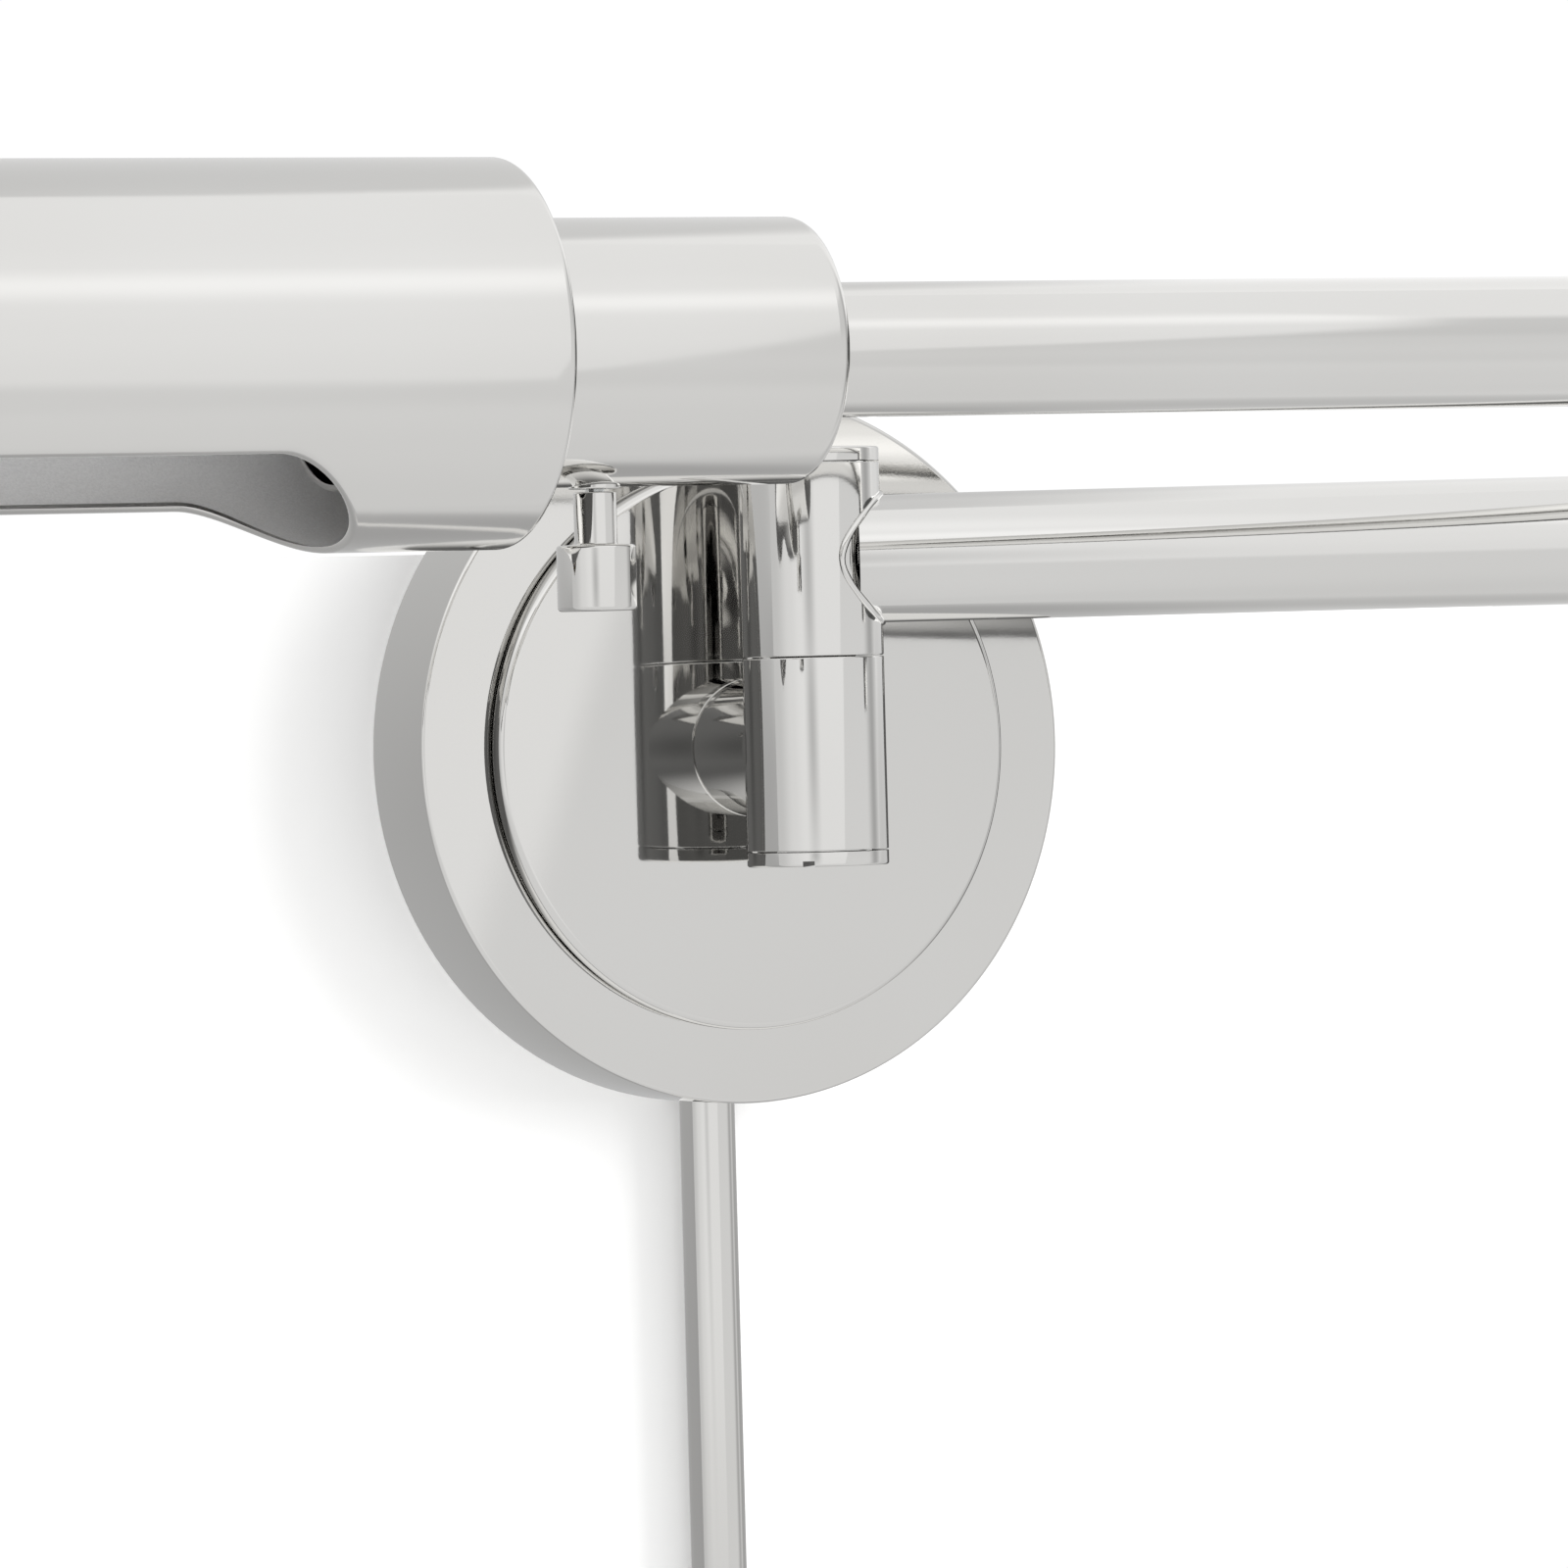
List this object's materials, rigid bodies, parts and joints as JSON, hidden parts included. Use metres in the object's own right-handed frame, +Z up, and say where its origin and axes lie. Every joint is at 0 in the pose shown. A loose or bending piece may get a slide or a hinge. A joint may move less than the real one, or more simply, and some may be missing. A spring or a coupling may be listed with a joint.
{
  "type": "swing arm wall sconce",
  "caption": "Wall sconce: a round stepped canopy, a two-part tubular swing arm on upright knuckles, a long tube shade open underneath, a turn knob and a slim cord cover down the wall.",
  "frame": {"origin": "the middle of the wall side of the crossbar and canopy, on the wall's plane", "axes": "+Z up, +Y into the wall, +X along the wall to the right as a viewer in the room sees it; the lamp stands out along -Y"},
  "size_m": [0.5294, 0.1635, 0.4645],
  "materials": {
    "polished_nickel": "polished nickel plate, warm mirror",
    "zinc_steel": "bright zinc plate",
    "brass": "raw turned and drawn brass",
    "black_phenolic": "moulded phenolic, satin",
    "opal_glass": "opal white glass",
    "white_nylon": "moulded nylon",
    "rubber": "matte rubber",
    "cable_jacket": "soft vinyl jacket",
    "white_wire": "white vinyl insulation",
    "wire_nut_orange": "moulded thermoplastic"
  },
  "bodies": {
    "wall_base": {"crossbar": "zinc_steel", "canopy": "polished_nickel", "centre_disc": "polished_nickel", "canopy_screw_upper": "polished_nickel", "canopy_screw_lower": "polished_nickel", "fixture_nipple": "zinc_steel", "nipple_lock_washer": "zinc_steel", "nipple_nut": "zinc_steel", "wall_stub": "polished_nickel", "wall_knuckle_lower_barrel": "polished_nickel", "wall_knuckle_bottom_cap": "polished_nickel", "wall_pivot_tube": "zinc_steel", "wall_pivot_lower_nut": "zinc_steel", "wall_pivot_bearing_washer": "white_nylon", "wall_pivot_spring_washer": "zinc_steel", "wall_pivot_upper_nut": "zinc_steel", "base_cable": "cable_jacket", "wire_nut_live": "wire_nut_orange", "live_lead": "cable_jacket", "wire_nut_neutral": "wire_nut_orange", "neutral_lead": "white_wire", "cord_cover_tube": "polished_nickel", "cord_cover_bushing": "white_nylon", "cord_cover_clip": "polished_nickel"},
    "inner_arm": {"wall_knuckle_upper_barrel": "polished_nickel", "wall_knuckle_top_cap": "polished_nickel", "inner_arm_tube": "polished_nickel", "elbow_lower_barrel": "polished_nickel", "elbow_bottom_cap": "polished_nickel", "elbow_pivot_tube": "zinc_steel", "elbow_pivot_lower_nut": "zinc_steel", "elbow_pivot_bearing_washer": "white_nylon", "elbow_pivot_spring_washer": "zinc_steel", "elbow_pivot_upper_nut": "zinc_steel", "inner_arm_cable": "cable_jacket"},
    "outer_arm": {"elbow_upper_barrel": "polished_nickel", "elbow_top_cap": "polished_nickel", "outer_arm_tube": "polished_nickel", "outer_arm_plug": "brass", "socket_housing": "polished_nickel", "housing_nipple": "zinc_steel", "housing_lock_nut": "zinc_steel", "lampholder_body": "black_phenolic", "lampholder_screw_shell": "brass", "lampholder_contact": "brass", "bulb_cap": "brass", "bulb_glass": "opal_glass", "outer_arm_cable": "cable_jacket", "switch_body": "black_phenolic", "switch_bushing": "polished_nickel"},
    "shade": {"shade_shell": "polished_nickel", "shade_inner_end": "polished_nickel", "shade_collar": "brass", "shade_friction_ring": "rubber", "shade_outer_end": "polished_nickel"},
    "knob": {"switch_shaft": "zinc_steel", "switch_knob": "polished_nickel"}
  },
  "joints": [
    {"name": "base_swivel", "type": "hinge", "parent": "wall_base", "child": "inner_arm", "pos_m": [0, -0.0482, 0.0159], "axis": [0, 0, 1], "range_deg": [-153.5, 26.5]},
    {"name": "elbow_swivel", "type": "hinge", "parent": "inner_arm", "child": "outer_arm", "pos_m": [0.18615, -0.14101, 0.0501], "axis": [0, 0, 1], "range_deg": [0, 180]},
    {"name": "shade_turn", "type": "hinge", "parent": "outer_arm", "child": "shade", "pos_m": [0.18615, -0.14101, 0.0672], "axis": [-0.9994, 0.0349, 0], "continuous": true},
    {"name": "switch_turn", "type": "hinge", "parent": "outer_arm", "child": "knob", "pos_m": [-0.08319, -0.1316, 0.04], "axis": [0, 0, 1], "continuous": true}
  ]
}
